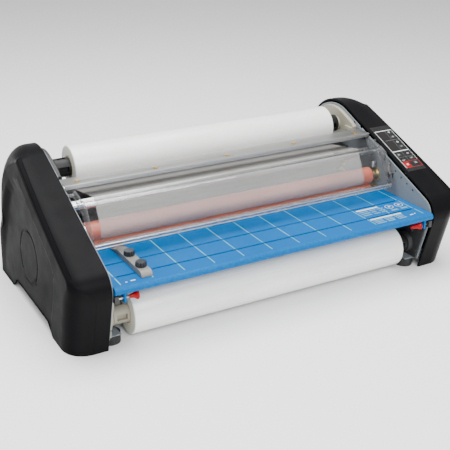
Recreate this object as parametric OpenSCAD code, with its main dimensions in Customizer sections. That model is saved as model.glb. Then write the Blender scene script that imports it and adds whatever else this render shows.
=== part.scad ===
// Wide desktop roll laminator with two film rolls, two heated rollers and a feed table.
// Millimetres. +X is to the right, +Y to the back, +Z up. The origin is on the
// standing surface, under the middle of the machine. The operator faces +Y.

/* [Overall] */
// Width over both end casings
overall_w = 892; // [880:1:910]
// Width of one end casing
casing_w = 76; // [74:0.5:78]
// Front of the casing foot, measured from the origin
foot_front = -216; // [-218:0.5:-214]
// Back of the casing foot, measured from the origin
foot_back = 252; // [250:0.5:254]
// Wall of a moulded casing
wall = 4; // [3.5:0.1:4.5]

/* [Film] */
// Length of a film roll
film_w = 635; // [620:1:640]
// Radius of the upper film roll
upper_roll_r = 43.7; // [38:0.1:44]
// Radius of the lower film roll
lower_roll_r = 44.3; // [38:0.1:44.5]
// Radius of the mandrel that holds a film core
mandrel_r = 20; // [18:0.5:21]

/* [Rollers] */
// Radius of a heated or pull roller over its silicone
roller_r = 18.9; // [18.5:0.05:19]
// Half length of the silicone
roller_half = 345; // [340:1:350]
// Radius of a roller journal
journal_r = 9; // [8:0.5:10]
// Radius of an idler bar
idler_r = 10; // [9:0.5:10.5]
// Radial running clearance of a shaft in its bore
run_gap = 0.05; // [0.03:0.01:0.08]

/* [Gears] */
// Tooth module of the drive train
gear_module = 2.4; // [2.4:0.1:2.4]
// Teeth of the heated and pull roller gears
roller_teeth = 16; // [16:1:16]
// Teeth of the transfer gear
transfer_teeth = 36; // [36:2:36]
// Teeth of the motor pinion
pinion_teeth = 12; // [12:1:12]
// Play between meshing teeth, at the pitch circle
backlash = 0.5; // [0.4:0.1:0.7]

/* [Feed table] */
// Height of the table's working face
table_top = 141; // [140:0.5:142]
// Thickness of the table sheet
table_t = 2; // [1.5:0.1:2.2]
// Width of a guide slot
slot_w = 5; // [4.5:0.1:5.5]

/* [Keys] */
// Depth that a key travels
key_travel = 0.4; // [0.3:0.05:0.4]

/* [Hidden] */
$fn = 64;

// Casing outline in the YZ plane: a crown arc, a straight slope, a nose arc, two leaning faces
half_w = overall_w / 2;
inner_x = half_w - casing_w;
crown = [116.5, 196];
crown_r = 109;
nose = [-206, 131];
nose_r = 44;
front_corner_r = 45;
rear_corner_r = 42;
side_bulge_r = 900;
side_bulge_z = 130;

// Direction of the outward normal shared by two circles, on the left of the line from a to b
function shared_normal(a, b, ra, rb) =
    atan2(b.y - a.y, b.x - a.x) + acos((ra - rb) / norm(b - a));
// Direction of the normal of the line from point p that touches the circle at c
function touch_normal(p, c, r, side) =
    atan2(p.y - c.y, p.x - c.x) + side * acos(r / norm(p - c));
function ray(angle) = [cos(angle), sin(angle)];
// Points along a circular arc, in equal steps
function arc(centre, r, from, to, steps) =
    [for (i = [0:steps]) centre + r * ray(from + (to - from) * i / steps)];
// Where the line with the given normal and offset crosses a height
function at_height(angle, offset, z) = [(offset - z * sin(angle)) / cos(angle), z];

slope_normal = shared_normal(nose, crown, nose_r, crown_r);
slope_deg = slope_normal - 90;
slope_top = crown + crown_r * ray(slope_normal);
front_normal = 360 + touch_normal([foot_front, 0], nose, nose_r, -1);
rear_normal = touch_normal([foot_back, 0], crown, crown_r, 1);
front_lean = front_normal - 180;
rear_lean = rear_normal;

// Frame plates
plate_x = 366;
plate_t = 3;
plate_inset = 8;
plate_foot_z = 20;
// Inner face of the mandrel brackets on the plates
bracket_x = 357;

// Cross rail and its screws
rail_front = -18;
rail_depth = 42;
rail_z = 255;
rail_t = 3;
guard_front = 58;
guard_back = 105;
guard_foot = 192;
guard_top = 206;
guard_t = 2;
screw_y = -2;
screw_xs = [-336:168:336];

// Mains inlet, in the rear face's own frame
inlet_x = 388;
inlet_z = 44;
inlet_w = 28;
inlet_h = 46;

// Axes of the turning parts, as [y, z]
upper_supply = [98, 255];
lower_supply = [-178, 51];
shaft_r = 8;
nip_z = 150;
roller_pitch_r = gear_module * roller_teeth / 2;
transfer_pitch_r = gear_module * transfer_teeth / 2;
pinion_pitch_r = gear_module * pinion_teeth / 2;
heat_y = -50;
pull_y = heat_y + 2 * (roller_pitch_r + transfer_pitch_r);
upper_heat = [heat_y, nip_z + roller_pitch_r];
lower_heat = [heat_y, nip_z - roller_pitch_r];
upper_pull = [pull_y, nip_z + roller_pitch_r];
lower_pull = [pull_y, nip_z - roller_pitch_r];
transfer = [(heat_y + pull_y) / 2, lower_heat.y];
motor = [transfer.x, transfer.y - transfer_pitch_r - pinion_pitch_r];
upper_idler = [-34, 222];
lower_idler = [-92, 88];
shield_pivot = [-36, 244];

// Rollers
core_r = 16.5;
core_half = roller_half + 2;
bush_r = 14;
gear_x = 374;
gear_w = 10;
stud_r = 6;
motor_shaft_r = 4;
heater_r = 4;

// Feed table
table_half = 365.5;
table_back = -74;
lip_r = 7.5;
lip_y = -244.5;
slot_ys = [-151, -205];
slot_half = 345;
guide_x = -295;
guide_w = 22;
guide_front = -232;
guide_back = -87;
guide_h = 10.5;
guide_slope_from = -117;
guide_tail_h = 1.5;
stud_guide_r = 2.2;
stud_top = 7;
slide_gap = 0.5;
latch_axis = [-241.5, 116.6];
latch_r = 2.6;
ear_x = 344;
shelf_x = 352;

// Base and fans
pan_t = 2;
pan_front = -112;
pan_back = 226;
fan_size = 80;
fan_xs = [-150, 150];
fan_y = 118;
fan_h = 25;
blades = 7;

// Panel
panel_x = 402.5;
panel_w = 51;
panel_from = 84;
panel_len = 158;
panel_t = 2;
panel_face = 0.5;
key_gap = 0.5;
key_h = 1.9;
// Centre of each key on the panel, across and then down the slope, and its size
keys = [[[416, 125.5], [12, 11]], [[416, 160.6], [12, 11]], [[390, 186.5], [12, 11]],
    [[415.5, 202], [12, 11]], [[390.3, 220.3], [15, 16]], [[415, 218], [12, 11]]];

// Heat shield, with its bend, its lower edge and the normal of its lower run
shield_half = 352;
shield_t = 3;
shield_bend = [-80, 228];
shield_bend_r = 16;
shield_low = [-125, 175];
shield_low_n = 148;

// Film webs
film_t = 0.5;
web_gap = 0.4;
idler_reach = idler_r + web_gap;
roller_reach = roller_r + web_gap;

// --- Placing ---

// Extrudes a YZ outline along X
module along_x(from, length) {
    translate([from, 0, 0]) rotate([90, 0, 90]) linear_extrude(length) children();
}

// A cylinder along X, at an axis given as [y, z]
module bar_x(axis, r, from, length) {
    translate([from, axis.x, axis.y]) rotate([0, 90, 0]) cylinder(r = r, h = length);
}

// A tube along X
module tube_x(axis, outer, inner, from, length) {
    difference() {
        bar_x(axis, outer, from, length);
        bar_x(axis, inner, from - 1, length + 2);
    }
}

// Draws its child on the right and again, mirrored, on the left
module both_sides() {
    children();
    mirror([1, 0, 0]) children();
}

// Local frame on the sloping top face: X stays, -Y runs down the slope, +Z points out
module on_slope() {
    translate([0, slope_top.x, slope_top.y]) rotate([slope_deg, 0, 0]) children();
}

// Local frame on the leaning rear face: X stays, +Y points out, +Z runs up the face
module on_rear() {
    translate([0, foot_back, 0]) rotate([rear_lean, 0, 0]) children();
}

// --- Casing shapes ---

// Side outline, moved inward by inset, with its foot at the height bottom
module side_outline(inset, bottom) {
    front_offset = nose * ray(front_normal) + nose_r - inset;
    rear_offset = crown * ray(rear_normal) + crown_r - inset;
    polygon(concat(
        [at_height(front_normal, front_offset, bottom)],
        arc(nose, nose_r - inset, front_normal, slope_normal, 10),
        arc(crown, crown_r - inset, slope_normal, rear_normal, 18),
        [at_height(rear_normal, rear_offset, bottom)]
    ));
}

// Long prism with one rounded outer corner, behind the face at y = 0
module corner_prism(r, inset) {
    corner = [half_w - r, r];
    linear_extrude(900, center = true) polygon(concat(
        [[inner_x - 30, 700], [inner_x - 30, inset]],
        arc(corner, r - inset, -90, 0, 8),
        [[half_w - inset, 700]]
    ));
}

// The side face, bulging outward a little and falling in towards the crown
module bulged_side(inset) {
    centre = [half_w - side_bulge_r, side_bulge_z];
    top_angle = asin(200 / side_bulge_r);
    translate([0, 400, 0]) rotate([90, 0, 0]) linear_extrude(900) polygon(concat(
        [[inner_x - 30, -10], [half_w - inset, -10]],
        arc(centre, side_bulge_r - inset, 0, top_angle, 8),
        [[inner_x - 30, side_bulge_z + 200]]
    ));
}

// Solid end casing on the right, moved inward by inset
module casing_block(inset, bottom) {
    intersection() {
        along_x(inner_x - (inset > 0 ? 5 : 0), casing_w + 10) side_outline(inset, bottom);
        translate([0, foot_front, 0]) rotate([front_lean, 0, 0]) corner_prism(front_corner_r, inset);
        translate([0, foot_back, 0]) rotate([rear_lean, 0, 0])
            mirror([0, 1, 0]) corner_prism(rear_corner_r, inset);
        bulged_side(inset);
    }
}

// Opening between the front and rear foot of a casing
module foot_arch() {
    arch_h = 24;
    arch_front = -122;
    arch_back = 130;
    ramp = 26;
    along_x(inner_x - 10, casing_w + 20) polygon([
        [arch_front, -1], [arch_front + ramp, arch_h],
        [arch_back - ramp, arch_h], [arch_back, -1]
    ]);
}

// One hollow casing, open towards the frame plate and at the foot
module casing_shell() {
    recess = 1.5;
    recess_inset = 26;
    difference() {
        casing_block(0, 0);
        casing_block(wall, -5);
        foot_arch();
        along_x(half_w - recess, recess + 5) intersection() {
            side_outline(recess_inset, 34);
            translate([-300, 34]) square([600, 190]);
        }
    }
}

// --- Gears ---

function involute(base_r, t) =
    base_r * [cos(t) + t * PI / 180 * sin(t), sin(t) - t * PI / 180 * cos(t)];
function turned(p, a) = [p.x * cos(a) - p.y * sin(a), p.x * sin(a) + p.y * cos(a)];
// Involute parameter, in degrees, at which the curve reaches a radius
function involute_at(base_r, r) = 180 / PI * sqrt(max(0, pow(r / base_r, 2) - 1));

// Flat gear with involute teeth; the first tooth points along the first axis
module gear_outline(teeth) {
    steps = 6;
    pitch_r = gear_module * teeth / 2;
    base_r = pitch_r * cos(20);
    outer_r = pitch_r + 0.85 * gear_module;
    root_r = pitch_r - 1.15 * gear_module;
    from_r = max(base_r, root_r);
    tooth_half = 90 / teeth - backlash / 2 / pitch_r * 180 / PI;
    t_pitch = involute_at(base_r, pitch_r);
    p_pitch = involute(base_r, t_pitch);
    shift = tooth_half + atan2(p_pitch.y, p_pitch.x);
    flank = [for (i = [0:steps])
        let (t = involute_at(base_r, from_r + (outer_r - from_r) * i / steps))
        turned(involute(base_r, t), -shift)];
    tooth = concat([[root_r * 0.9, flank[0].y]], flank,
        [for (i = [steps:-1:0]) [flank[i].x, -flank[i].y]], [[root_r * 0.9, -flank[0].y]]);
    circle(root_r);
    for (i = [0:teeth - 1]) rotate(360 / teeth * i) polygon(tooth);
}

// Gear on the left of the machine, on an axis along X
module gear_x_axis(axis, teeth, bore_r, phase) {
    along_x(-gear_x - gear_w, gear_w) translate(axis) rotate(phase) difference() {
        gear_outline(teeth);
        circle(bore_r);
    }
}

// --- Casings and frame ---

module left_casing() {
    color([0.09, 0.09, 0.10]) mirror([1, 0, 0]) casing_shell();
}

module right_casing() {
    color([0.09, 0.09, 0.10]) difference() {
        casing_shell();
        on_slope() translate([panel_x - panel_w / 2, -panel_from - panel_len, -panel_t])
            cube([panel_w, panel_len, 10]);
        on_rear() translate([inlet_x - inlet_w / 2, -wall - 6, inlet_z]) cube([inlet_w, wall + 12, inlet_h]);
    }
}

// Steel side plate on the right, with a turned-in foot
module frame_plate(holes) {
    difference() {
        union() {
            along_x(plate_x, plate_t) side_outline(plate_inset, plate_foot_z);
            translate([plate_x - 26, -205, plate_foot_z]) cube([26, 430, pan_t]);
        }
        for (axis = [upper_heat, lower_heat, upper_pull, lower_pull])
            bar_x(axis, bush_r, plate_x - 1, plate_t + 2);
        for (axis = [upper_idler, lower_idler])
            bar_x(axis, idler_r + run_gap - 4, plate_x - 1, plate_t + 2);
        bar_x(shield_pivot, 4 + run_gap, plate_x - 1, plate_t + 2);
        for (i = [0:11]) on_slope() translate([0, -40 - 22 * i, -18]) rotate([0, 90, 0])
            cylinder(r = 2.6, h = 400);
        for (p = [[16, 264], [0, 241], [40, 268], [-22, 208]]) bar_x(p, 4, plate_x - 1, plate_t + 2);
        children();
    }
}

module left_frame_plate() {
    color([0.72, 0.76, 0.80]) {
        mirror([1, 0, 0]) frame_plate() bar_x(motor, motor_shaft_r + 6, plate_x - 1, plate_t + 2);
        bar_x(transfer, stud_r, -gear_x - gear_w - 4, gear_x + gear_w + 4 - plate_x - plate_t + 0.5);
    }
}

module right_frame_plate() {
    color([0.72, 0.76, 0.80]) frame_plate();
}

// Sheet floor between the plates, with an upturned front
module base_pan() {
    floor_z = plate_foot_z + pan_t;
    front_h = 44;
    color([0.25, 0.26, 0.27]) difference() {
        translate([-plate_x, pan_front, floor_z]) {
            cube([2 * plate_x, pan_back - pan_front, pan_t]);
            cube([2 * plate_x, pan_t, front_h]);
        }
        for (x = fan_xs) translate([x, fan_y, floor_z - 1]) cylinder(r = fan_size / 2 - 3, h = pan_t + 2);
    }
}

// Louvred panel across the back, below the film outlet
module rear_cover() {
    cover_t = 4;
    slot = [30, cover_t + 2, 5];
    color([0.10, 0.10, 0.11]) difference() {
        translate([-plate_x, pan_back - cover_t, 24]) cube([2 * plate_x, cover_t, 96]);
        for (x = [-320:40:320]) for (z = [44:14:100])
            translate([x - slot.x / 2, pan_back - cover_t - 1, z]) cube(slot);
    }
}

// Folded cross rail in front of the upper film roll, and the folded guard sheet between that roll
// and the pull rollers
module front_rail() {
    front_fold = 6;
    back_fold = 11;
    color([0.62, 0.65, 0.68]) difference() {
        union() {
            translate([-plate_x, rail_front, rail_z]) cube([2 * plate_x, rail_depth, rail_t]);
            translate([-plate_x, rail_front, rail_z - front_fold])
                cube([2 * plate_x, rail_t, front_fold + 1]);
            translate([-plate_x, rail_front + rail_depth - rail_t, rail_z - back_fold])
                cube([2 * plate_x, rail_t, back_fold + 1]);
        }
        for (x = screw_xs) translate([x, screw_y, rail_z - 5]) cylinder(r = 2.5, h = 12);
    }
    color([0.10, 0.10, 0.11]) along_x(-plate_x, 2 * plate_x) polygon([
        [guard_front, guard_foot], [guard_front + guard_t, guard_foot],
        [guard_front + guard_t, guard_top - guard_t], [guard_back, guard_top - guard_t],
        [guard_back, guard_top], [guard_front, guard_top]
    ]);
}

module rail_screws() {
    shank_h = 12;
    color([0.78, 0.62, 0.30]) for (x = screw_xs) translate([x, screw_y, rail_z + rail_t - shank_h]) {
        cylinder(r = 2.5, h = shank_h);
        translate([0, 0, shank_h]) cylinder(r = 4.5, h = 2.2);
    }
}

// Brackets that carry the ends of the upper film mandrel, following the crown
module supply_brackets() {
    color([0.80, 0.78, 0.70]) both_sides() difference() {
        union() {
            along_x(bracket_x, plate_x - bracket_x) intersection() {
                side_outline(13, 0);
                polygon([
                    [152, 222], [152, 320], [100, 320], [67, 292],
                    [32, 261], [33, 254], [42, 246], [80, 222]
                ]);
            }
            bar_x(upper_supply, 15, bracket_x - 6, 7);
            along_x(bracket_x - 4, 5) translate([36, 250]) square([26, 8]);
        }
        bar_x(upper_supply, shaft_r + run_gap, bracket_x - 7, 20);
    }
}

// Brackets of the lower film mandrel, each with a cover over the front of its frame plate
module lower_supply_brackets() {
    cover_from = 22;
    cover_top = 109;
    cover_back = -114;
    cover_x = plate_x - 4;
    color([0.30, 0.30, 0.30]) both_sides() difference() {
        union() {
            along_x(cover_x, plate_x - cover_x) intersection() {
                side_outline(11, cover_from);
                translate([-300, cover_from]) square([300 + cover_back, cover_top - cover_from]);
            }
            bar_x(lower_supply, 22, bracket_x - 6, 12);
            along_x(bracket_x, 6) difference() {
                translate(lower_supply) circle(42);
                translate(lower_supply) circle(36);
                translate([lower_supply.x - 60, 0]) square([40, 120]);
                translate([lower_supply.x - 60, 0]) square([120, 40]);
            }
        }
        bar_x(lower_supply, shaft_r + run_gap, bracket_x - 7, 20);
        for (p = [[-214, 40], [-205, 92], [-140, 92]]) bar_x(p, 3, cover_x - 1, 6);
    }
}

// --- Feed table ---

// Sheet with a rolled front lip, side flanges, two guide slots and an ear for each latch
module feed_table() {
    color([0.10, 0.52, 0.82]) difference() {
        union() {
            along_x(-table_half, 2 * table_half) {
                translate([lip_y, table_top - table_t]) square([table_back - lip_y, table_t]);
                translate([lip_y, table_top - lip_r]) circle(lip_r);
            }
            both_sides() translate([table_half - table_t, lip_y, 128]) cube([table_t, 165, 12]);
            both_sides() translate([ear_x, lip_y - 5, 110]) cube([4, 14, 24]);
        }
        for (y = slot_ys) translate([-slot_half, y - slot_w / 2, table_top - 10])
            cube([2 * slot_half, slot_w, 20]);
        both_sides() bar_x(latch_axis, latch_r + run_gap, ear_x - 1, 6);
    }
}

// Shelves on the frame plates that the table sits on, with the keepers of its latches
module table_brackets() {
    shelf_top = table_top - table_t;
    color([0.72, 0.76, 0.80]) both_sides() difference() {
        union() {
            translate([shelf_x, -225, 127]) cube([11, 140, shelf_top - 127]);
            translate([shelf_x, -225, 122]) cube([plate_x - shelf_x, 140, 6]);
            translate([358, -249, 110]) cube([plate_x - 358, 26, 15]);
        }
        bar_x(latch_axis, latch_r + run_gap, 357, 12);
    }
}

// --- Film webs ---

// Direction of the normal of the line that runs above circle a and below circle b
function cross_normal(a, b, sum) = atan2(b.y - a.y, b.x - a.x) + acos(sum / norm(b - a));
// Turn between the line of centres of an idler and a roller and the film's normal
function wrap_turn(a, b) = acos((idler_reach - roller_reach) / norm(b - a));

// Film from the upper roll, over the idler bar and down round the heated roller
module upper_film_web() {
    roll_reach = upper_roll_r + web_gap;
    over = cross_normal(upper_idler, upper_supply, roll_reach + idler_reach + film_t);
    to_roller = upper_heat - upper_idler;
    off = 360 + atan2(to_roller.y, to_roller.x) - wrap_turn(upper_idler, upper_heat);
    last = 235;
    color([0.85, 0.88, 0.90, 0.5]) along_x(-film_w / 2, film_w) polygon(concat(
        [upper_supply - roll_reach * ray(over)],
        arc(upper_idler, idler_reach + film_t, over, off, 8),
        arc(upper_heat, roller_reach + film_t, off, last, 8),
        arc(upper_heat, roller_reach, last, off, 8),
        arc(upper_idler, idler_reach, off, over, 8),
        [upper_supply - (roll_reach + film_t) * ray(over)]
    ));
}

// Film from the lower roll, under and behind the lower idler bar, up to the heated roller
module lower_film_web() {
    roll_reach = lower_roll_r + web_gap;
    under = cross_normal(lower_supply, lower_idler, roll_reach + idler_reach + film_t);
    up = cross_normal(lower_idler, lower_heat, -idler_reach - roller_reach - film_t);
    last = 125;
    color([0.85, 0.88, 0.90, 0.5]) along_x(-film_w / 2, film_w) polygon(concat(
        [lower_supply + (roll_reach + film_t) * ray(under)],
        arc(lower_idler, idler_reach, under + 180, up + 180, 8),
        arc(lower_heat, roller_reach + film_t, up, last, 8),
        arc(lower_heat, roller_reach, last, up, 8),
        arc(lower_idler, idler_reach + film_t, up + 180, under + 180, 8),
        [lower_supply + roll_reach * ray(under)]
    ));
}

// --- Film rolls ---

// Shaft with two flanged plugs that fit the ends of a film core
module mandrel(axis) {
    difference() {
        union() {
            bar_x(axis, shaft_r, -plate_x + 0.5, 2 * plate_x - 1);
            both_sides() bar_x(axis, mandrel_r, film_w / 2 - 40, 72);
        }
        both_sides() translate([film_w / 2 + 8, axis.x - 5, axis.y + 10]) cube([16, 10, 20]);
        both_sides() translate([film_w / 2 + 5, axis.x - 30, axis.y - 6]) cube([21, 18, 12]);
    }
}

module film_core(axis) {
    tube_x(axis, mandrel_r + 3, mandrel_r, -film_w / 2, film_w);
}

module film_roll(axis, r) {
    tube_x(axis, r, mandrel_r + 3, -film_w / 2, film_w);
}

module upper_mandrel() {
    color([0.12, 0.12, 0.13]) mandrel(upper_supply);
}

module upper_film_core() {
    color([0.80, 0.72, 0.56]) film_core(upper_supply);
}

module upper_film_roll() {
    color([0.93, 0.94, 0.93]) film_roll(upper_supply, upper_roll_r);
}

module lower_mandrel() {
    color([0.76, 0.73, 0.64]) mandrel(lower_supply);
}

module lower_film_core() {
    color([0.80, 0.72, 0.56]) film_core(lower_supply);
}

module lower_film_roll() {
    color([0.93, 0.94, 0.93]) film_roll(lower_supply, lower_roll_r);
}

// --- Rollers ---

module idler_bar(axis) {
    bar_x(axis, idler_r, -plate_x + 4, 2 * plate_x - 8);
    bar_x(axis, idler_r - 4, -plate_x - plate_t - 2, 2 * (plate_x + plate_t + 2));
}

module upper_idler_bar() {
    color([0.88, 0.89, 0.90]) idler_bar(upper_idler);
}

module lower_idler_bar() {
    color([0.88, 0.89, 0.90]) idler_bar(lower_idler);
}

// Hollow aluminium core with steel-sized journals
module heat_core(axis, left_end, right_end) {
    difference() {
        union() {
            bar_x(axis, core_r, -core_half, 2 * core_half);
            bar_x(axis, journal_r, -left_end, left_end + right_end);
        }
        bar_x(axis, heater_r + 2, -left_end - 1, left_end + right_end + 2);
    }
}

module silicone(axis) {
    tube_x(axis, roller_r, core_r, -roller_half, 2 * roller_half);
}

module upper_heat_core() {
    color([0.80, 0.80, 0.82]) heat_core(upper_heat, gear_x + gear_w, 374);
}

module lower_heat_core() {
    color([0.80, 0.80, 0.82]) heat_core(lower_heat, gear_x + gear_w, 374);
}

module upper_heat_sleeve() {
    color([0.90, 0.50, 0.42]) silicone(upper_heat);
}

module lower_heat_sleeve() {
    color([0.90, 0.50, 0.42]) silicone(lower_heat);
}

module upper_heat_gear() {
    color([0.90, 0.89, 0.84]) gear_x_axis(upper_heat, roller_teeth, journal_r, 180 / roller_teeth);
}

module lower_heat_gear() {
    color([0.90, 0.89, 0.84]) gear_x_axis(lower_heat, roller_teeth, journal_r, 0);
}

module pull_roller(axis, left_end) {
    bar_x(axis, roller_r, -roller_half, 2 * roller_half);
    bar_x(axis, journal_r, -left_end, left_end + 374);
}

module upper_pull_roller() {
    color([0.22, 0.22, 0.23]) pull_roller(upper_pull, gear_x - 2);
}

module lower_pull_roller() {
    color([0.22, 0.22, 0.23]) pull_roller(lower_pull, gear_x + gear_w);
}

module pull_gear() {
    color([0.90, 0.89, 0.84]) gear_x_axis(lower_pull, roller_teeth, journal_r, 0);
}

module transfer_gear() {
    color([0.90, 0.89, 0.84])
        gear_x_axis(transfer, transfer_teeth, stud_r + run_gap, 180 / transfer_teeth);
}

module motor_pinion() {
    color([0.70, 0.66, 0.50]) {
        gear_x_axis(motor, pinion_teeth, motor_shaft_r - 0.2, 0);
        bar_x(motor, motor_shaft_r, -gear_x - gear_w, 48);
    }
}

// Flanged bearings of the heated and pull rollers, pressed into the frame plates
module roller_bushes() {
    color([0.80, 0.62, 0.28]) both_sides() for (axis = [upper_heat, lower_heat, upper_pull, lower_pull]) {
        tube_x(axis, bush_r, journal_r + run_gap, plate_x, plate_t + 1);
        tube_x(axis, bush_r + 2, journal_r + run_gap, plate_x - 3, 3);
    }
}

// Rings of the two coil springs that press the upper heated roller down
module pressure_springs() {
    spring_r = 5;
    wire_r = 0.9;
    coil_pitch = 1.9;
    color([0.60, 0.60, 0.62]) both_sides() for (i = [0:7])
        translate([bracket_x, upper_heat.x, upper_heat.y + bush_r + 4 + i * coil_pitch])
            rotate_extrude() translate([spring_r, 0]) circle(wire_r, $fn = 16);
}

// Heating rods with their end plates and standoffs
module heater_rods() {
    end_x = 392;
    post_y = -84;
    color([0.92, 0.92, 0.88]) {
        for (axis = [upper_heat, lower_heat]) bar_x(axis, heater_r, -end_x, 2 * end_x);
        both_sides() {
            along_x(end_x, 3) polygon([
                [post_y - 6, nip_z - 8], [post_y - 6, nip_z + 8], [heat_y + 6, upper_heat.y + 7],
                [heat_y + 6, lower_heat.y - 7]
            ]);
            bar_x([post_y, nip_z], 3, plate_x + plate_t, end_x - plate_x - plate_t + 0.5);
        }
    }
}

// --- Drive and electrics ---

// Gearbox, can and rear bearing cap of the motor, with the bore of the pinion's shaft
module drive_motor() {
    gearbox_l = 26;
    can_l = 61;
    color([0.35, 0.36, 0.38]) difference() {
        union() {
            bar_x(motor, 31, -plate_x, gearbox_l);
            bar_x(motor, 24, -plate_x + gearbox_l - 1, can_l + 1);
            bar_x(motor, 9, -plate_x + gearbox_l + can_l - 1, 6);
        }
        bar_x(motor, motor_shaft_r + run_gap, -plate_x - 1, 35);
    }
}

module circuit_board() {
    board_x = 388;
    color([0.10, 0.38, 0.20]) on_slope() {
        translate([board_x, -236, -30]) cube([40, 146, 1.6]);
        translate([board_x + 6, -130, -28.5]) cube([14, 14, 8]);
        translate([board_x + 22, -180, -28.5]) cube([12, 22, 6]);
        for (x = [board_x + 4, board_x + 36]) for (y = [-231, -95])
            translate([x, y, -29]) cylinder(r = 2, h = 29 - wall);
    }
}

// Transformer case on its mounting plate, with a terminal block on top
module power_supply() {
    color([0.55, 0.56, 0.58]) translate([plate_x - 50, 60, 24]) {
        translate([-30, -40, 0]) cube([60, 80, 46]);
        translate([-40, -45, 0]) cube([80, 90, 3]);
        translate([-20, -30, 45]) cube([40, 60, 6]);
    }
}

module fan_frames() {
    color([0.14, 0.14, 0.15]) for (x = fan_xs) translate([x, fan_y, 24]) {
        difference() {
            translate([-fan_size / 2, -fan_size / 2, 0]) cube([fan_size, fan_size, fan_h]);
            translate([0, 0, -1]) cylinder(r = fan_size / 2 - 3, h = fan_h + 2);
        }
        cylinder(r = 15, h = 5);
        for (a = [0:90:270]) rotate(a) translate([-2.5, 10, 0]) cube([5, fan_size / 2 - 11, 3]);
    }
}

// Hub with tilted blades, turning in a fan frame
module fan_rotor(x) {
    color([0.20, 0.20, 0.21]) translate([x, fan_y, 30]) {
        cylinder(r = 15, h = 15);
        for (i = [0:blades - 1]) rotate(360 / blades * i)
            translate([23.5, 0, 7.5]) rotate([40, 0, 0]) cube([20, 15, 1.4], center = true);
    }
}

module left_fan_rotor() {
    fan_rotor(fan_xs[0]);
}

module right_fan_rotor() {
    fan_rotor(fan_xs[1]);
}

// Mains inlet with a switch bezel, in the back of the right casing
module power_inlet() {
    rim = 3;
    socket = [22, 20, 16];
    switch = [19, 20, 16];
    color([0.08, 0.08, 0.08]) on_rear() difference() {
        union() {
            translate([inlet_x - inlet_w / 2, -16, inlet_z]) cube([inlet_w, 16, inlet_h]);
            translate([inlet_x - inlet_w / 2 - rim, 0, inlet_z - rim])
                cube([inlet_w + 2 * rim, 1.6, inlet_h + 2 * rim]);
        }
        translate([inlet_x - socket.x / 2, -12, inlet_z + 3]) cube(socket);
        translate([inlet_x - switch.x / 2, -10, inlet_z + 26]) cube(switch);
    }
}

module power_rocker() {
    axis_z = inlet_z + 34;
    color([0.75, 0.10, 0.08]) on_rear() translate([inlet_x, -3, axis_z]) rotate([-8, 0, 0]) intersection() {
        translate([-9, -3, -7.5]) cube([18, 7, 15]);
        rotate([0, 90, 0]) cylinder(r = 7.4, h = 18, center = true);
    }
}

module rubber_feet() {
    foot_r = 20;
    foot_x = 354;
    color([0.05, 0.05, 0.05]) both_sides() for (y = [-183, 190])
        translate([foot_x, y, 0]) cylinder(r = foot_r, h = plate_foot_z);
}

// --- Control panel ---

// Box of one key on the slope, wider by a gap all round
module key_box(key, gap, from, height) {
    place = key[0];
    size = key[1];
    translate([place.x - size.x / 2 - gap, -place.y - size.y / 2 - gap, from])
        cube([size.x + 2 * gap, size.y + 2 * gap, height]);
}

module control_panel() {
    color([0.05, 0.05, 0.05]) on_slope() difference() {
        translate([panel_x - panel_w / 2, -panel_from - panel_len, -panel_t])
            cube([panel_w, panel_len, panel_t + panel_face]);
        for (key = keys) key_box(key, key_gap, -panel_t - 1, 5);
    }
}

module panel_key(index) {
    on_slope() key_box(keys[index], 0, panel_face + key_travel - key_h, key_h);
}

module key_up() {
    color([0.85, 0.85, 0.85]) panel_key(0);
}

module key_down() {
    color([0.85, 0.85, 0.85]) panel_key(1);
}

module key_run() {
    color([0.85, 0.85, 0.85]) panel_key(2);
}

module key_reverse() {
    color([0.85, 0.85, 0.85]) panel_key(3);
}

module key_stop() {
    color([0.85, 0.08, 0.10]) panel_key(4);
}

module key_standby() {
    color([0.85, 0.85, 0.85]) panel_key(5);
}

// --- Heat shield ---

// Clear sheet from its back edge, over a rolled top, to its lower edge
module shield_outline() {
    back_n = 80;
    back_run = [26, -26 * tan(90 - back_n)];
    outer = arc(shield_bend, shield_bend_r, back_n, shield_low_n, 10);
    inner = arc(shield_bend, shield_bend_r - shield_t, shield_low_n, back_n, 10);
    low_step = shield_t * ray(shield_low_n - 180);
    polygon(concat([outer[0] + back_run], outer, [shield_low, shield_low + low_step],
        inner, [inner[10] + back_run]));
}

module shield_panel() {
    color([0.80, 0.85, 0.88, 0.35]) along_x(-shield_half, 2 * shield_half) shield_outline();
}

// Bright strip clamped along the shield's lower edge
module shield_strip() {
    color([0.85, 0.86, 0.87]) along_x(-shield_half, 2 * shield_half)
        polygon(concat([[shield_low.x - 1.5, 161], [shield_low.x + 5.5, 161], [shield_low.x + 5.5, 172.5]],
            [shield_low + shield_t * ray(shield_low_n - 180), shield_low, [shield_low.x - 1.5, 174]]));
}

// End plates that carry the shield on its pivot pins
module shield_arms() {
    arm_t = 4;
    color([0.82, 0.85, 0.88, 0.6]) both_sides() {
        along_x(shield_half, arm_t) {
            translate(shield_pivot) circle(9);
            polygon([
                [shield_pivot.x - 2, shield_pivot.y + 8], [-76, 244], [-94, 236],
                [shield_low.x, shield_low.y], [shield_low.x, 165], [-113, 165], [-84, 212],
                [-60, 226], [shield_pivot.x - 2, shield_pivot.y - 8]
            ]);
        }
        bar_x(shield_pivot, 4, shield_half + arm_t, plate_x + plate_t + 0.4 - shield_half - arm_t);
    }
}

// --- Edge guide ---

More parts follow.
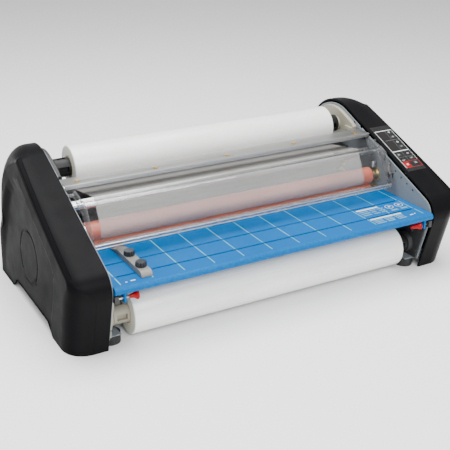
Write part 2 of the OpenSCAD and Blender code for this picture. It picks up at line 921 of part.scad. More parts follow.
// Guide bar with a rounded nose and a sloping tail, and the two studs that hold it in the table slots
module edge_guide() {
    floor_z = table_top + slide_gap;
    nut_h = 4;
    nut_top = table_top - table_t - 0.4;
    color([0.62, 0.61, 0.57]) {
        along_x(guide_x - guide_w / 2, guide_w) translate([0, floor_z]) polygon(concat(
            arc([guide_front + guide_h, 0], guide_h, 180, 90, 12),
            [[guide_slope_from, guide_h], [guide_back, guide_tail_h], [guide_back, 0]]
        ));
        for (y = slot_ys) translate([guide_x, y, nut_top - nut_h]) {
            cylinder(r = 6, h = nut_h);
            cylinder(r = stud_guide_r, h = floor_z + guide_h + stud_top - nut_top + nut_h);
        }
    }
}

// Fluted knob that clamps the guide, turning on its stud
module guide_knob(y) {
    flutes = 12;
    knob_r = 11;
    knob_h = 10;
    color([0.12, 0.12, 0.12]) translate([guide_x, y, table_top + slide_gap + guide_h + 0.4]) difference() {
        cylinder(r = knob_r, h = knob_h);
        for (i = [0:flutes - 1]) rotate(360 / flutes * i)
            translate([knob_r + 0.7, 0, -1]) cylinder(r = 1.8, h = knob_h - 1);
        translate([0, 0, -1]) cylinder(r = stud_guide_r + run_gap, h = stud_top + 1);
    }
}

module front_guide_knob() {
    guide_knob(slot_ys[1]);
}

module rear_guide_knob() {
    guide_knob(slot_ys[0]);
}

// Spring plunger that locks the table to its shelf, with a tapered grip that ends in a thumb flange.
// Both grips widen towards +X, so the flange is inward on the left and outward on the right.
module table_latch(grip_from, grip_to, flange_at) {
    low = min(grip_from, grip_to);
    r_low = grip_from < grip_to ? 3.2 : 8;
    r_high = grip_from < grip_to ? 8 : 3.2;
    bar_x(latch_axis, 9, flange_at, 4);
    translate([low, latch_axis.x, latch_axis.y]) rotate([0, 90, 0])
        cylinder(r1 = r_low, r2 = r_high, h = abs(grip_to - grip_from));
    bar_x(latch_axis, latch_r, 335, 29);
}

module left_table_latch() {
    color([0.80, 0.06, 0.08]) mirror([1, 0, 0]) table_latch(336, 322, 318);
}

module right_table_latch() {
    color([0.80, 0.06, 0.08]) table_latch(314, 336, 336);
}

left_casing();
right_casing();
left_frame_plate();
right_frame_plate();
base_pan();
rear_cover();
front_rail();
rail_screws();
supply_brackets();
lower_supply_brackets();
feed_table();
table_brackets();
upper_film_web();
lower_film_web();
heater_rods();
roller_bushes();
pressure_springs();
drive_motor();
circuit_board();
power_supply();
fan_frames();
control_panel();
power_inlet();
rubber_feet();
shield_panel();
shield_strip();
shield_arms();
upper_mandrel();
upper_film_core();
upper_film_roll();
lower_mandrel();
lower_film_core();
lower_film_roll();
upper_idler_bar();
lower_idler_bar();
upper_heat_core();
upper_heat_sleeve();
upper_heat_gear();
lower_heat_core();
lower_heat_sleeve();
lower_heat_gear();
upper_pull_roller();
lower_pull_roller();
pull_gear();
transfer_gear();
motor_pinion();
left_fan_rotor();
right_fan_rotor();
edge_guide();
front_guide_knob();
rear_guide_knob();
left_table_latch();
right_table_latch();
power_rocker();
key_up();
key_down();
key_run();
key_reverse();
key_stop();
key_standby();
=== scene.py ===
import math

import bpy
import bmesh
from mathutils import Matrix, Vector


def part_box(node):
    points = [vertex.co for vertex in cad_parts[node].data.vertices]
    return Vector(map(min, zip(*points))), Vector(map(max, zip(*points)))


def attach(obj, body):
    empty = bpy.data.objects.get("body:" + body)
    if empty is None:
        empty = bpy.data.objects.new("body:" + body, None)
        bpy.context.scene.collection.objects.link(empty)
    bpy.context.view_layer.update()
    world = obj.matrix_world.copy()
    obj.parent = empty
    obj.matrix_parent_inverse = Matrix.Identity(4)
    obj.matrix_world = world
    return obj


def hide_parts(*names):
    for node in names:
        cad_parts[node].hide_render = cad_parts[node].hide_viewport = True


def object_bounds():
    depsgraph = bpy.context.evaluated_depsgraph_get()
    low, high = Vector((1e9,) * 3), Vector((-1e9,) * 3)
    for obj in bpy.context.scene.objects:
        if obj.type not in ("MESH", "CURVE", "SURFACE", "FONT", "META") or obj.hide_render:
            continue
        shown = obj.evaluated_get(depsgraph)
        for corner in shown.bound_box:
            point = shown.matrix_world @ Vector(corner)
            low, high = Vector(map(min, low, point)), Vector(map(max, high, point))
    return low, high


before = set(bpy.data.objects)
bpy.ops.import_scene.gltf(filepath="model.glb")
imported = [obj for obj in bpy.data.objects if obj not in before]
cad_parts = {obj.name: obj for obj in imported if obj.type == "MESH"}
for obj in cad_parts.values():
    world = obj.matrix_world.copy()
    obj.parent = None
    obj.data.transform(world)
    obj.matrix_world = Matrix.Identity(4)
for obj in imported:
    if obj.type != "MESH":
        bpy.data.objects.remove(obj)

CAD_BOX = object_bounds()
MM = 0.001

# ---------------------------------------------------------------- camera

# The camera stands left of and above the machine, at its own measured place
CAMERA_AT = Vector((-859.0, -1517.6, 840.0)) * MM
CAMERA_YAW = 29.4
CAMERA_PITCH = 23.1
CAMERA_ROLL = 0.3
LENS = 69.0


def make_camera():
    """The scene's camera, turned to the right by the yaw and down by the pitch."""
    yaw, pitch, roll = (math.radians(a) for a in (CAMERA_YAW, CAMERA_PITCH, CAMERA_ROLL))
    look = Vector((math.sin(yaw) * math.cos(pitch), math.cos(yaw) * math.cos(pitch), -math.sin(pitch)))
    right = Vector((math.cos(yaw), -math.sin(yaw), 0))
    up = right.cross(look)
    right, up = right * math.cos(roll) + up * math.sin(roll), up * math.cos(roll) - right * math.sin(roll)
    data = bpy.data.cameras.new("camera")
    data.lens = LENS
    data.sensor_width = 36
    data.clip_end = 50
    camera = bpy.data.objects.new("camera", data)
    camera.matrix_world = Matrix.Translation(CAMERA_AT) @ Matrix((right, up, -look)).transposed().to_4x4()
    bpy.context.scene.collection.objects.link(camera)
    bpy.context.scene.camera = camera


make_camera()

# ---------------------------------------------------------------- materials


class Surface:
    """A material under construction: a Principled shader and the nodes that feed it."""

    def __init__(self, name, roughness=0.5, metallic=0.0, **shader):
        self.mat = bpy.data.materials.new(name)
        self.mat.use_nodes = True
        self.tree = self.mat.node_tree
        self.bsdf = self.tree.nodes["Principled BSDF"]
        self.place = self.node("ShaderNodeTexCoord").outputs["Object"]
        self.bsdf.inputs["Roughness"].default_value = roughness
        self.bsdf.inputs["Metallic"].default_value = metallic
        for key, value in shader.items():
            self.bsdf.inputs[key.replace("_", " ")].default_value = value

    def node(self, kind, **values):
        made = self.tree.nodes.new(kind)
        for key, value in values.items():
            setattr(made, key, value)
        return made

    def link(self, out, into):
        self.tree.links.new(out, into)

    def stretched(self, stretch):
        """Object coordinates, scaled by a different amount along each axis."""
        mapping = self.node("ShaderNodeMapping")
        mapping.inputs["Scale"].default_value = stretch
        self.link(self.place, mapping.inputs["Vector"])
        return mapping.outputs["Vector"]

    def noise(self, scale, detail=3.0, stretch=(1, 1, 1), rough=0.5):
        made = self.node("ShaderNodeTexNoise")
        made.inputs["Scale"].default_value = scale
        made.inputs["Detail"].default_value = detail
        made.inputs["Roughness"].default_value = rough
        self.link(self.stretched(stretch), made.inputs["Vector"])
        return made.outputs["Fac"]

    def cells(self, scale, stretch=(1, 1, 1), feature="F1", out="Distance"):
        made = self.node("ShaderNodeTexVoronoi", feature=feature)
        made.inputs["Scale"].default_value = scale
        self.link(self.stretched(stretch), made.inputs["Vector"])
        return made.outputs[out]

    def ramp(self, fac, stops):
        made = self.node("ShaderNodeValToRGB")
        bar = made.color_ramp
        while len(bar.elements) < len(stops):
            bar.elements.new(0.5)
        for element, (at, colour) in zip(bar.elements, stops):
            element.position = at
            element.color = (*colour, 1) if len(colour) == 3 else colour
        self.link(fac, made.inputs["Fac"])
        return made.outputs["Color"]

    def range(self, fac, low, high):
        made = self.node("ShaderNodeMapRange")
        made.inputs["From Min"].default_value = 0.25
        made.inputs["From Max"].default_value = 0.75
        made.inputs["To Min"].default_value = low
        made.inputs["To Max"].default_value = high
        self.link(fac, made.inputs["Value"])
        return made.outputs["Result"]

    def blend(self, fac, under, over, kind="MIX"):
        made = self.node("ShaderNodeMix", data_type="RGBA", blend_type=kind)
        for value, socket in ((fac, 0), (under, 6), (over, 7)):
            if isinstance(value, bpy.types.NodeSocket):
                self.link(value, made.inputs[socket])
            elif isinstance(value, (int, float)):
                made.inputs[socket].default_value = value
            else:
                made.inputs[socket].default_value = (*value, 1)
        return made.outputs[2]

    def colour(self, out):
        self.link(out, self.bsdf.inputs["Base Color"])

    def rough(self, out):
        self.link(out, self.bsdf.inputs["Roughness"])

    def bump(self, height, depth, strength=1.0):
        """Adds a bump of the given depth in metres on top of any earlier one."""
        made = self.node("ShaderNodeBump")
        made.inputs["Strength"].default_value = strength
        made.inputs["Distance"].default_value = depth
        self.link(height, made.inputs["Height"])
        socket = self.bsdf.inputs["Normal"]
        if socket.links:
            self.link(socket.links[0].from_socket, made.inputs["Normal"])
        self.link(made.outputs["Normal"], socket)

    def edge_wear(self, base, worn, amount=0.5):
        """Mixes a paler tone in along convex edges, broken up by noise."""
        edge = self.node("ShaderNodeNewGeometry").outputs["Pointiness"]
        sharp = self.ramp(edge, [(0.52, (0, 0, 0)), (0.60, (1, 1, 1))])
        broken = self.ramp(self.noise(180, 4), [(0.42, (0, 0, 0)), (0.62, (amount,) * 3)])
        return self.blend(self.blend(1.0, sharp, broken, "MULTIPLY"), base, worn)


def scaled(colour, factor):
    return tuple(min(1.0, c * factor) for c in colour)


def mottled(surface, colour, scale=14, low=0.88, high=1.12):
    """A slow change of tone over the surface, as on any moulded or painted part."""
    return surface.ramp(surface.noise(scale, 5), [(0.3, scaled(colour, low)), (0.7, scaled(colour, high))])


def moulded_plastic(name, colour, roughness, grain=1100, depth=0.00006, wear=1.5, shine=0.5):
    s = Surface(name, roughness, Specular_IOR_Level=shine)
    s.colour(s.edge_wear(mottled(s, colour), scaled(colour, wear), 0.35))
    s.rough(s.range(s.noise(30, 4), roughness - 0.06, roughness + 0.07))
    s.bump(s.cells(grain), depth, 0.55)
    return s.mat


def casing_plastic():
    """Black moulded plastic: satin on the slope and the front, coarser and duller on the outer side."""
    s = Surface("casing_black", 0.34)
    s.colour(s.edge_wear(mottled(s, (0.0046, 0.0046, 0.0052)), (0.009, 0.009, 0.010), 0.35))
    apart = s.node("ShaderNodeSeparateXYZ")
    s.link(s.place, apart.inputs["Vector"])
    out = s.node("ShaderNodeMath", operation="ABSOLUTE")
    s.link(apart.outputs["X"], out.inputs[0])
    flank = s.node("ShaderNodeMapRange", interpolation_type="SMOOTHSTEP")
    for key, value in (("From Min", 0.418), ("From Max", 0.440), ("To Min", 0.045), ("To Max", 0.008)):
        flank.inputs[key].default_value = value
    s.link(out.outputs["Value"], flank.inputs["Value"])
    s.link(flank.outputs["Result"], s.bsdf.inputs["Specular IOR Level"])
    s.rough(s.range(s.noise(30, 4), 0.30, 0.42))
    s.bump(s.cells(1100), 0.00006, 0.55)
    return s.mat


def side_shaded_plastic(name, left, right, roughness=0.46):
    """Moulded plastic of one colour on the left of the machine and another on the right: the darker side is painted
    shade.
    """
    s = Surface(name, roughness, Specular_IOR_Level=0.35)
    apart = s.node("ShaderNodeSeparateXYZ")
    s.link(s.place, apart.inputs["Vector"])
    at_right = s.node("ShaderNodeMath", operation="GREATER_THAN")
    s.link(apart.outputs["X"], at_right.inputs[0])
    at_right.inputs[1].default_value = 0.0
    s.colour(s.blend(at_right.outputs["Value"], mottled(s, left), mottled(s, right)))
    s.rough(s.range(s.noise(30, 4), roughness - 0.06, roughness + 0.07))
    s.bump(s.cells(1400), 0.00005, 0.55)
    return s.mat


def gloss_plastic(name, colour, roughness=0.22, shine=0.5):
    s = Surface(name, roughness, Specular_IOR_Level=shine)
    s.colour(mottled(s, colour, 60, 0.92, 1.06))
    s.rough(s.range(s.noise(90, 3), roughness - 0.05, roughness + 0.10))
    s.bump(s.noise(260, 2), 0.00008, 0.25)
    return s.mat


def painted_steel(name, colour, roughness=0.42, peel=420):
    s = Surface(name, roughness)
    s.colour(s.edge_wear(mottled(s, colour, 10, 0.94, 1.05), scaled(colour, 1.5), 0.4))
    s.rough(s.range(s.noise(45, 4), roughness - 0.06, roughness + 0.08))
    s.bump(s.noise(peel, 2), 0.00016, 0.22)
    return s.mat


def brushed_metal(name, colour, roughness, along=(0.04, 1, 1), depth=0.00005):
    s = Surface(name, roughness, 1.0)
    streaks = s.noise(900, 6, along, 0.65)
    s.colour(s.ramp(streaks, [(0.25, scaled(colour, 0.82)), (0.75, scaled(colour, 1.12))]))
    s.rough(s.range(streaks, roughness - 0.07, roughness + 0.10))
    s.bump(streaks, depth, 0.35)
    return s.mat


def rail_and_shade_guard():
    """Brushed steel on the cross rail; the guard sheet below and behind it is near-black satin, painted shade for
    the dark inside of the machine.
    """
    s = Surface("rail_steel", 0.36)
    apart = s.node("ShaderNodeSeparateXYZ")
    s.link(s.place, apart.inputs["Vector"])
    above = s.node("ShaderNodeMath", operation="GREATER_THAN")
    s.link(apart.outputs["Z"], above.inputs[0])
    above.inputs[1].default_value = 0.225
    rail = above.outputs["Value"]
    streaks = s.noise(900, 6, (0.04, 1, 1), 0.65)
    steel = s.ramp(streaks, [(0.25, (0.33, 0.33, 0.325)), (0.75, (0.45, 0.45, 0.44))])
    # Near black below the rail: painted shade on the guard sheet.
    s.colour(s.blend(rail, mottled(s, (0.016, 0.016, 0.018)), steel))
    s.link(rail, s.bsdf.inputs["Metallic"])
    s.rough(s.range(streaks, 0.29, 0.46))
    s.bump(streaks, 0.00005, 0.35)
    return s.mat


def powder_blue():
    """Saturated blue powder coat with a light orange peel and fine scuffs."""
    blue = (0.0, 0.092, 0.290)
    s = Surface("table_blue", 0.34, Specular_IOR_Level=0.05)
    tone = mottled(s, blue, 3.5, 0.92, 1.08)
    hair = s.ramp(s.noise(260, 8, (0.05, 1, 1), 0.75), [(0.58, (0, 0, 0)), (0.80, (0.10, 0.10, 0.10))])
    s.colour(s.edge_wear(s.blend(hair, tone, (0.02, 0.16, 0.34)), (0.01, 0.20, 0.40), 0.5))
    s.rough(s.range(s.noise(38, 5), 0.30, 0.38))
    s.bump(s.noise(420, 2), 0.00004, 0.2)
    return s.mat


def wound_film():
    """Milky wound film: fine turns show as faint streaks along the roll."""
    s = Surface("wound_film", 0.30, Subsurface_Weight=0.25, Subsurface_Scale=0.01, Coat_Weight=0.35,
                Coat_Roughness=0.12)
    bands = s.noise(30, 4, (0.25, 1, 1), 0.6)
    s.colour(s.ramp(bands, [(0.25, (0.80, 0.81, 0.79)), (0.75, (0.90, 0.905, 0.885))]))
    s.rough(s.range(s.noise(120, 5, (0.05, 1, 1)), 0.22, 0.40))
    s.bump(s.noise(22, 3, (0.3, 1, 1)), 0.0009, 0.20)
    s.bump(s.noise(700, 2, (0.04, 1, 1)), 0.00004, 0.3)
    return s.mat


def roll_end():
    """The cut end of a film roll: close rings, pale cream."""
    s = Surface("roll_end", 0.5, Subsurface_Weight=0.2, Subsurface_Scale=0.006)
    rings = s.noise(1500, 3, (0.02, 1, 1), 0.7)
    s.colour(s.ramp(rings, [(0.3, (0.66, 0.63, 0.54)), (0.7, (0.80, 0.78, 0.70))]))
    s.rough(s.range(rings, 0.42, 0.60))
    s.bump(rings, 0.0002, 0.35)
    return s.mat


def thin_film():
    """A single layer of film, half clear, with faint stretch lines."""
    s = Surface("thin_film", 0.20, IOR=1.45)
    lines = s.noise(20, 2, (0.3, 0.6, 0.6), 0.4)
    s.colour(s.ramp(lines, [(0.3, (0.60, 0.59, 0.565)), (0.7, (0.67, 0.66, 0.635))]))
    s.bsdf.inputs["Alpha"].default_value = 0.27
    s.rough(s.range(lines, 0.14, 0.24))
    return s.mat


def clear_sheet(name, tint, transmission=0.92):
    s = Surface(name, 0.0, IOR=1.12, Transmission_Weight=transmission, Coat_Weight=0.6, Coat_Roughness=0.04)
    s.colour(s.ramp(s.noise(5, 2), [(0.3, scaled(tint, 0.98)), (0.7, tint)]))
    s.rough(s.range(s.noise(60, 3, (0.2, 1, 1)), 0.0, 0.012))
    return s.mat


def shade_tinted_sheet(name, tint, alpha):
    """Thin clear plate seen mostly by its tint, a dark grey that is painted shade blending it into the shade behind.
    """
    s = Surface(name, 0.14)
    s.bsdf.inputs["Alpha"].default_value = alpha
    s.colour(s.ramp(s.noise(40, 3), [(0.3, scaled(tint, 0.9)), (0.7, scaled(tint, 1.1))]))
    s.rough(s.range(s.noise(120, 4), 0.08, 0.22))
    return s.mat


def silicone_rubber():
    """Salmon silicone, slightly dusty, ground along its length."""
    s = Surface("silicone", 0.42, Subsurface_Weight=0.12, Subsurface_Scale=0.004)
    tone = s.noise(26, 5, (0.4, 1, 1))
    s.colour(s.ramp(tone, [(0.3, (0.47, 0.105, 0.062)), (0.7, (0.57, 0.145, 0.090))]))
    s.rough(s.range(s.noise(70, 4), 0.36, 0.52))
    s.bump(s.noise(900, 2, (1, 0.3, 0.3)), 0.00005, 0.3)
    return s.mat


def matt_rubber(name, colour, roughness=0.7):
    s = Surface(name, roughness)
    s.colour(mottled(s, colour, 50, 0.8, 1.25))
    s.rough(s.range(s.noise(80, 4), roughness - 0.08, roughness + 0.10))
    s.bump(s.noise(1200, 2), 0.00008, 0.4)
    return s.mat


def speckled_stone():
    """Grey moulded bar with dark and pale flecks."""
    s = Surface("guide_stone", 0.48)
    base = mottled(s, (0.17, 0.168, 0.155), 20)
    dark = s.ramp(s.cells(520), [(0.16, (1, 1, 1)), (0.24, (0, 0, 0))])
    pale = s.ramp(s.cells(410, (1.1, 0.9, 1)), [(0.10, (1, 1, 1)), (0.17, (0, 0, 0))])
    s.colour(s.blend(pale, s.blend(dark, base, (0.05, 0.05, 0.048)), (0.40, 0.39, 0.37)))
    s.rough(s.range(s.noise(120, 3), 0.40, 0.56))
    s.bump(s.cells(900), 0.00006, 0.5)
    return s.mat


def paper_core():
    s = Surface("paper_core", 0.8)
    spiral = s.noise(160, 4, (0.5, 1, 1))
    s.colour(s.ramp(spiral, [(0.3, (0.40, 0.29, 0.17)), (0.7, (0.55, 0.42, 0.27))]))
    s.bump(s.noise(900, 3), 0.0001, 0.5)
    return s.mat


def ink(name, colour):
    """Printed ink: a thin, slightly uneven coat."""
    s = Surface(name, 0.45)
    s.colour(mottled(s, colour, 300, 0.92, 1.04))
    s.rough(s.range(s.noise(400, 2), 0.38, 0.52))
    return s.mat


BLACK = (0.012, 0.012, 0.013)
CASING = casing_plastic()
BLACK_PLASTIC = moulded_plastic("black_plastic", BLACK, 0.42, 1600, shine=0.25)
# The left upper bracket's dark grey is painted shade; the right one shows the brackets' cream.
UPPER_BRACKET = side_shaded_plastic("upper_bracket", (0.030, 0.031, 0.031), (0.33, 0.315, 0.25))
# The right lower bracket's and right lower mandrel's near black is painted shade on parts that are cream on the
# left.
LOWER_BRACKET = side_shaded_plastic("lower_bracket", (0.31, 0.295, 0.24), (0.026, 0.027, 0.028))
LOWER_MANDREL = side_shaded_plastic("lower_mandrel", (0.30, 0.28, 0.22), (0.012, 0.012, 0.013))
GEAR_PLASTIC = moulded_plastic("gear_plastic", (0.66, 0.64, 0.56), 0.44, 1500)
FRAME_PAINT = painted_steel("frame_paint", (0.150, 0.172, 0.186), 0.36)
# Near black: the pan's dark paint, darkened further as painted shade inside the machine; the table brackets under
# the table share it.
PAN_PAINT_AND_SHADE = painted_steel("pan_paint", (0.016, 0.016, 0.018), 0.55)
MOTOR_PAINT = painted_steel("motor_paint", (0.08, 0.085, 0.09), 0.45)
RAIL_STEEL_AND_SHADE = rail_and_shade_guard()
SUPPLY_STEEL = brushed_metal("supply_steel", (0.45, 0.46, 0.48), 0.42)
SPRING_STEEL = brushed_metal("spring_steel", (0.42, 0.42, 0.44), 0.3)
CHROME = brushed_metal("chrome", (0.72, 0.73, 0.74), 0.10, (0.3, 1, 1), 0.00001)
ALUMINIUM = brushed_metal("aluminium", (0.66, 0.67, 0.69), 0.22, (0.03, 1, 1), 0.00001)
BRASS = brushed_metal("brass", (0.66, 0.44, 0.15), 0.28, (1, 1, 1))
TABLE_BLUE = powder_blue()
WOUND_FILM = wound_film()
ROLL_END = roll_end()
THIN_FILM = thin_film()
SHIELD_CLEAR = clear_sheet("shield_clear", (0.96, 0.965, 0.965), 1.0)
# Grey tint on the clear shield ends: painted shade, blending them into the shade behind.
SHIELD_END = shade_tinted_sheet("shield_end", (0.17, 0.175, 0.18), 0.34)
SILICONE = silicone_rubber()
RUBBER = matt_rubber("rubber", (0.014, 0.014, 0.015))
PULL_RUBBER = matt_rubber("pull_rubber", (0.05, 0.05, 0.055), 0.6)
STONE = speckled_stone()
CORE = paper_core()
CERAMIC = moulded_plastic("heater_ceramic", (0.78, 0.77, 0.72), 0.6, 1800)
BOARD = gloss_plastic("board_green", (0.015, 0.16, 0.06), 0.35)
PANEL_FILM = gloss_plastic("panel_film", (0.0030, 0.0030, 0.0034), 0.26)
DISPLAY = gloss_plastic("display_glass", (0.006, 0.004, 0.004), 0.06)
KEY_FILM = gloss_plastic("key_film", (0.012, 0.012, 0.013), 0.30)
RED = gloss_plastic("red_plastic", (0.27, 0.0010, 0.002), 0.30, 0.18)
RED_KEY = gloss_plastic("red_key", (0.30, 0.0015, 0.004), 0.35, 0.18)
WHITE_INK = ink("white_ink", (0.62, 0.66, 0.64))
TABLE_INK = ink("table_ink", (0.16, 0.46, 0.44))
GREY_INK = ink("grey_ink", (0.10, 0.10, 0.105))
RED_INK = ink("red_ink", (0.28, 0.003, 0.006))
PALE_INK = ink("pale_ink", (0.12, 0.27, 0.38))
SIGN_INK = ink("sign_ink", (0.45, 0.46, 0.46))
KNOB = moulded_plastic("knob_grey", (0.016, 0.019, 0.022), 0.40, 1700, shine=0.4)

# ---------------------------------------------------------------- mesh helpers


def add_object(name, mesh, material, body, replaces=(), angle=32):
    """Links a finished mesh as a piece that rides on a CAD body."""
    for polygon in mesh.polygons:
        polygon.use_smooth = True
    mesh.set_sharp_from_angle(angle=math.radians(angle))
    mesh.materials.append(material)
    piece = bpy.data.objects.new(name, mesh)
    bpy.context.scene.collection.objects.link(piece)
    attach(piece, body)
    if replaces:
        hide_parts(*replaces)
    return piece


def build(name, verts, faces, material, body, slot, replaces=(), angle=32):
    """A piece from vertices and faces, with its normals turned outward."""
    mesh = bpy.data.meshes.new(name)
    work = bmesh.new()
    made = [work.verts.new(v) for v in verts]
    for face in faces:
        if len(set(face)) >= 3:
            work.faces.new([made[i] for i in face])
    bmesh.ops.remove_doubles(work, verts=work.verts, dist=1e-6)
    bmesh.ops.recalc_face_normals(work, faces=work.faces)
    work.to_mesh(mesh)
    work.free()
    return add_object(name, mesh, material, body, replaces, angle)


def bevel(piece, width, segments=3, angle=40):
    made = piece.modifiers.new("soft_edges", "BEVEL")
    made.width = width
    made.segments = segments
    made.limit_method = "ANGLE"
    made.angle_limit = math.radians(angle)
    made.harden_normals = False
    return piece


def joined(parts):
    """Several (vertices, faces) lists as one."""
    verts, faces = [], []
    for part_verts, part_faces in parts:
        start = len(verts)
        verts += part_verts
        faces += [[i + start for i in face] for face in part_faces]
    return verts, faces


def lathe(profile, centre, axis="x", segments=96, closed=False):
    """Turns (along, radius) points about an axis through centre."""
    verts, faces = [], []
    for along, radius in profile:
        for k in range(segments):
            a = 2 * math.pi * k / segments
            c, s = radius * math.cos(a), radius * math.sin(a)
            offset = (along, c, s) if axis == "x" else (c, s, along)
            verts.append(Vector(centre) + Vector(offset))
    rows = len(profile)
    for j in range(rows if closed else rows - 1):
        low, high = j * segments, (j + 1) % rows * segments
        for k in range(segments):
            n = (k + 1) % segments
            faces.append([low + k, low + n, high + n, high + k])
    if not closed:
        faces.append(list(range(segments)))
        faces.append([(rows - 1) * segments + k for k in range(segments)])
    return verts, faces


def rounded_ring(x0, x1, inner, outer, edge, steps=4):
    """Closed (x, radius) profile of a tube whose outer edges are rounded."""
    points = [(x0, inner)]
    for end, turn in ((x0, -1), (x1, 1)):
        corner = [
            (end - turn * edge * (1 - math.sin(a)), outer - edge * (1 - math.cos(a)))
            for a in (math.pi / 2 * i / steps for i in range(steps + 1))
        ]
        points += corner[::-1] if turn < 0 else corner
    points.append((x1, inner))
    return points


def prism(points, x0, x1):
    """A closed prism along X from a (y, z) outline."""
    n = len(points)
    verts = [(x, y, z) for x in (x0, x1) for y, z in points]
    faces = [list(range(n)), list(range(n, 2 * n))]
    faces += [[i, (i + 1) % n, n + (i + 1) % n, n + i] for i in range(n)]
    return verts, faces


def block(low, high):
    (x0, y0, z0), (x1, y1, z1) = low, high
    return prism([(y0, z0), (y1, z0), (y1, z1), (y0, z1)], x0, x1)


def arc(centre, radius, start, end, steps):
    """Points of a circular arc in a plane, angles in degrees."""
    points = []
    for i in range(steps + 1):
        a = math.radians(start + (end - start) * i / steps)
        points.append((centre[0] + radius * math.cos(a), centre[1] + radius * math.sin(a)))
    return points


def dress(node, material, edge=0.0):
    """Gives a CAD node its material, and soft edges where it has sharp ones."""
    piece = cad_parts[node]
    piece.data.materials.clear()
    piece.data.materials.append(material)
    if edge:
        weld = piece.modifiers.new("weld", "WELD")
        weld.merge_threshold = 0.00001
        bevel(piece, edge, 2, 50)
    return piece


def middle(node):
    low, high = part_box(node)
    return (low + high) / 2


# ---------------------------------------------------------------- end casings

# Outline of a casing in the YZ plane, as in the CAD model
NOSE, NOSE_R = Vector((-0.206, 0.131)), 0.044
CROWN, CROWN_R = Vector((0.1165, 0.196)), 0.109
FOOT_FRONT, FOOT_BACK = -0.216, 0.252
BULGE_R, BULGE_Z = 0.9, 0.130
ARCH = [(-0.122, 0.0), (-0.096, 0.024), (0.104, 0.024), (0.130, 0.0)]
HALF_WIDTH = CAD_BOX[1][0]
INNER_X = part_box("right_casing")[0][0]

# Upright edges: front, rear below, rear above; and the small edge beside the slope
FRONT_CORNER, REAR_CORNER, SHOULDER, RIM_R = 0.045, 0.042, 0.066, 0.0042
GROOVE = 0.0016
WALL = 0.0026
# The power inlet's opening in the rear of the right casing
INLET_X = (0.3742, 0.4018)
INLET_FOOT, INLET_TOP = 0.0436, 0.0892
# Sunken field on the outer side: its front and upper edge, and its rear edge, both as (y, z)
FIELD_FRONT = [(-0.104, -0.01), (-0.122, 0.038), (-0.137, 0.074), (-0.147, 0.101), (-0.154, 0.127),
               (-0.154, 0.145), (-0.147, 0.159), (-0.134, 0.170), (-0.103, 0.186), (-0.047, 0.2105),
               (0.004, 0.235), (0.060, 0.2585)]
FIELD_REAR = [(0.060, 0.262), (0.088, 0.258), (0.114, 0.247), (0.136, 0.227), (0.152, 0.198),
              (0.167, 0.168), (0.180, 0.138), (0.192, 0.107), (0.205, 0.060), (0.214, -0.01)]
FIELD_DEPTH = 0.0075
RING_CENTRE, RING_R = Vector((0.012, 0.113)), 0.054
HUB_R = 0.004

FLAT_POINTS = 9
CORNER_STEPS = 9
RIM_STEPS = 34
FIELD_STEPS = 56


def angle_of(v):
    return math.degrees(math.atan2(v[1], v[0]))


def shared_normal():
    """Direction, in degrees, of the normal of the straight slope."""
    across = CROWN - NOSE
    return angle_of(across) + math.degrees(math.acos((NOSE_R - CROWN_R) / across.length))


def touch_normal(foot, centre, radius, side):
    away = Vector((foot, 0.0)) - centre
    return angle_of(away) + side * math.degrees(math.acos(radius / away.length))


def on_circle(centre, radius, degrees):
    a = math.radians(degrees)
    return centre + radius * Vector((math.cos(a), math.sin(a)))


SLOPE_N = shared_normal()
FRONT_N = 360 + touch_normal(FOOT_FRONT, NOSE, NOSE_R, -1)
REAR_N = touch_normal(FOOT_BACK, CROWN, CROWN_R, 1)
SLOPE_TOP = on_circle(CROWN, CROWN_R, SLOPE_N)


def smooth(t):
    t = max(0.0, min(1.0, t))
    return t * t * (3 - 2 * t)


def mixed(a, b, t):
    return a + (b - a) * t


def even(steps):
    return [i / steps for i in range(steps)]


def side_x(z):
    """Half width of the machine at a height: a gentle bulge."""
    rise = max(0.0, z - BULGE_Z)
    return HALF_WIDTH - (BULGE_R - math.sqrt(BULGE_R ** 2 - rise ** 2))


